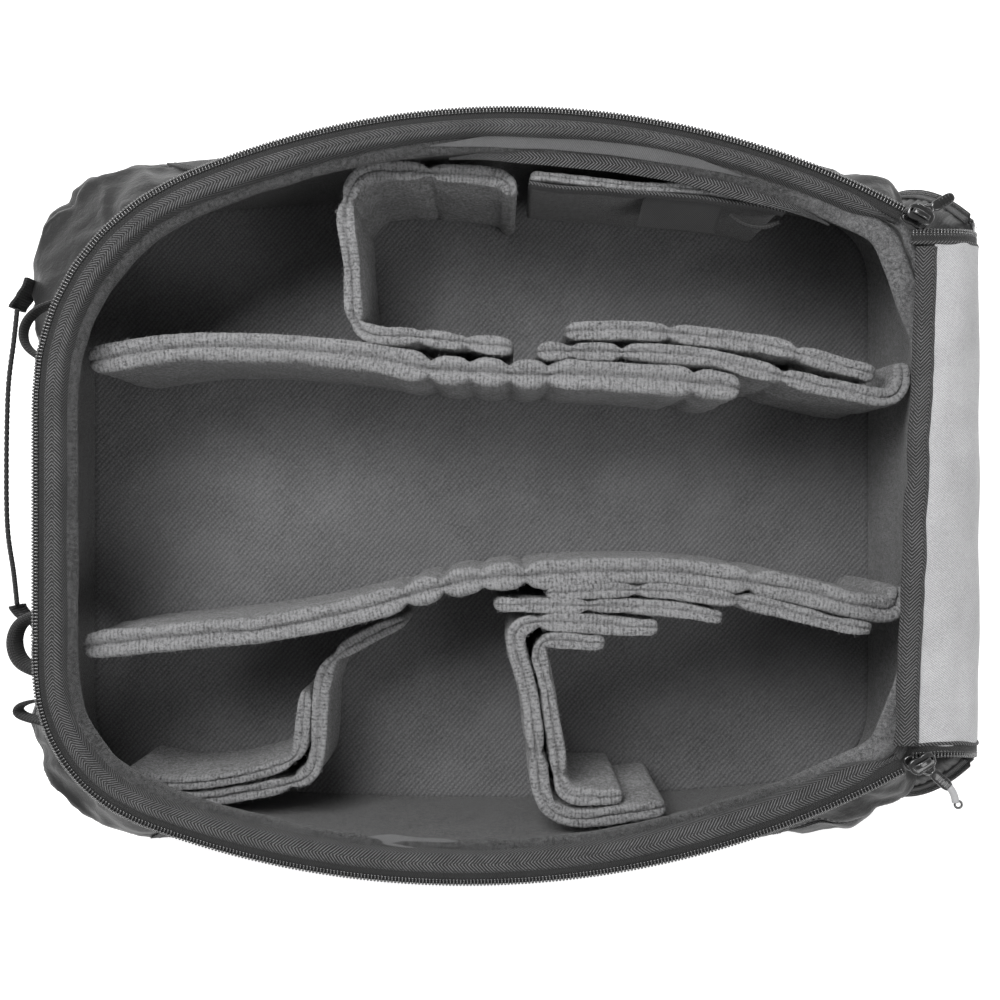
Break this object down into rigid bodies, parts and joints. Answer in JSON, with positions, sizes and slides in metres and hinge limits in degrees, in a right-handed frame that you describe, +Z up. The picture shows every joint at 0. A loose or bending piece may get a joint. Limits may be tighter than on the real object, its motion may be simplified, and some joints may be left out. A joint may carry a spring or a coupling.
{
  "type": "camera bag",
  "caption": "Camera backpack lying open on its back, with padded fleece dividers, a zip-round lid folded back under it, a carry handle and haul loops.",
  "frame": {"origin": "on the floor under the middle of the bag's opening, on the underside of the tucked lid", "axes": "+X towards the end the lid is hinged on, +Z up out of the opening, +Y towards the side with the inner pocket"},
  "size_m": [0.5582, 0.4206, 0.1837],
  "materials": {
    "shell_nylon": "crinkled charcoal nylon",
    "foam": "closed-cell foam",
    "back_mesh": "black spacer mesh over foam",
    "board": "black plastic sheet",
    "grey_fleece": "brushed grey fleece",
    "dark_fleece": "brushed dark grey fleece",
    "webbing": "black woven webbing and grosgrain",
    "zip_tape": "black herringbone tape",
    "zip_teeth": "black coil",
    "lid_twill": "silver-grey twill lining",
    "slider_metal": "black painted zinc"
  },
  "bodies": {
    "bag": {"outer_shell": "shell_nylon", "base_board": "board", "floor_pad": "foam", "floor_lining": "grey_fleece", "upper_side_pad": "foam", "upper_corner_pad": "foam", "far_end_pad": "foam", "lower_corner_pad": "foam", "lower_side_pad": "foam", "hinge_end_pad": "foam", "wall_lining": "dark_fleece", "zip_chain": "zip_teeth", "zip_tape": "zip_tape", "rim_binding": "webbing", "hinge_binding": "webbing", "hinge_web": "lid_twill", "back_pad_upper": "back_mesh", "back_pad_lower": "back_mesh", "upper_long_divider": "grey_fleece", "upper_divider_flap": "grey_fleece", "upper_divider_tail": "grey_fleece", "lower_long_divider": "grey_fleece", "lower_divider_flap": "grey_fleece", "lower_divider_tail": "grey_fleece", "upper_cross_divider": "grey_fleece", "lower_left_divider": "grey_fleece", "lower_left_lining": "grey_fleece", "lower_right_divider": "grey_fleece", "lower_right_lining": "grey_fleece", "side_pocket": "grey_fleece", "pocket_binding": "webbing", "pocket_tab": "dark_fleece", "pocket_loop": "webbing", "handle_anchor_upper": "webbing", "handle_anchor_lower": "webbing", "haul_loop_upper": "webbing", "haul_loop_lower": "webbing", "side_tab": "webbing", "webbing_upper_far": "webbing", "webbing_upper_near": "webbing", "webbing_lower_far": "webbing", "webbing_lower_mid": "webbing", "webbing_lower_near": "webbing"},
    "lid_near": {"lid_near_panel": "shell_nylon", "lid_near_lining": "lid_twill", "lid_near_zip_upper": "zip_teeth", "lid_near_zip_lower": "zip_teeth", "lid_hinge_roll": "lid_twill"},
    "lid_far": {"lid_far_panel": "shell_nylon", "lid_far_lining": "lid_twill", "lid_far_zip": "zip_teeth"},
    "slider_upper": {"slider_upper": "slider_metal"},
    "slider_lower": {"slider_lower": "slider_metal"},
    "pull_upper": {"pull_upper": "slider_metal"},
    "pull_lower": {"pull_lower": "slider_metal"},
    "handle": {"carry_handle": "webbing"}
  },
  "joints": [
    {"name": "lid_swing", "type": "hinge", "parent": "bag", "child": "lid_near", "pos_m": [0.25, 0, 0.1975], "axis": [0, -1, 0], "range_deg": [0, 270]},
    {"name": "lid_fold", "type": "hinge", "parent": "lid_near", "child": "lid_far", "pos_m": [0.2535, 0, 0.014], "axis": [0, -1, 0], "range_deg": [0, 90.5]},
    {"name": "slider_upper_run", "type": "hinge", "parent": "bag", "child": "slider_upper", "pos_m": [0.0055, -0.235, 0.1757], "axis": [0, 0, 1], "range_deg": [0, 51]},
    {"name": "slider_lower_run", "type": "hinge", "parent": "bag", "child": "slider_lower", "pos_m": [-0.0185, 0.2855, 0.1757], "axis": [0, 0, -1], "range_deg": [0, 49]},
    {"name": "pull_upper_flip", "type": "hinge", "parent": "slider_upper", "child": "pull_upper", "pos_m": [0.22463, 0.15231, 0.1812], "axis": [0.5299, -0.848, 0], "range_deg": [0, 95]},
    {"name": "pull_lower_flip", "type": "hinge", "parent": "slider_lower", "child": "pull_lower", "pos_m": [0.22551, -0.14057, 0.1812], "axis": [-0.6691, -0.7431, 0], "range_deg": [0, 95]},
    {"name": "handle_swing", "type": "hinge", "parent": "bag", "child": "handle", "pos_m": [-0.283, 0.025, 0.112], "axis": [0, 1, 0], "range_deg": [0, 75]}
  ],
  "couplings": [
    {"joint": "lid_fold", "follows": "lid_swing", "ratio": 0.33333}
  ]
}
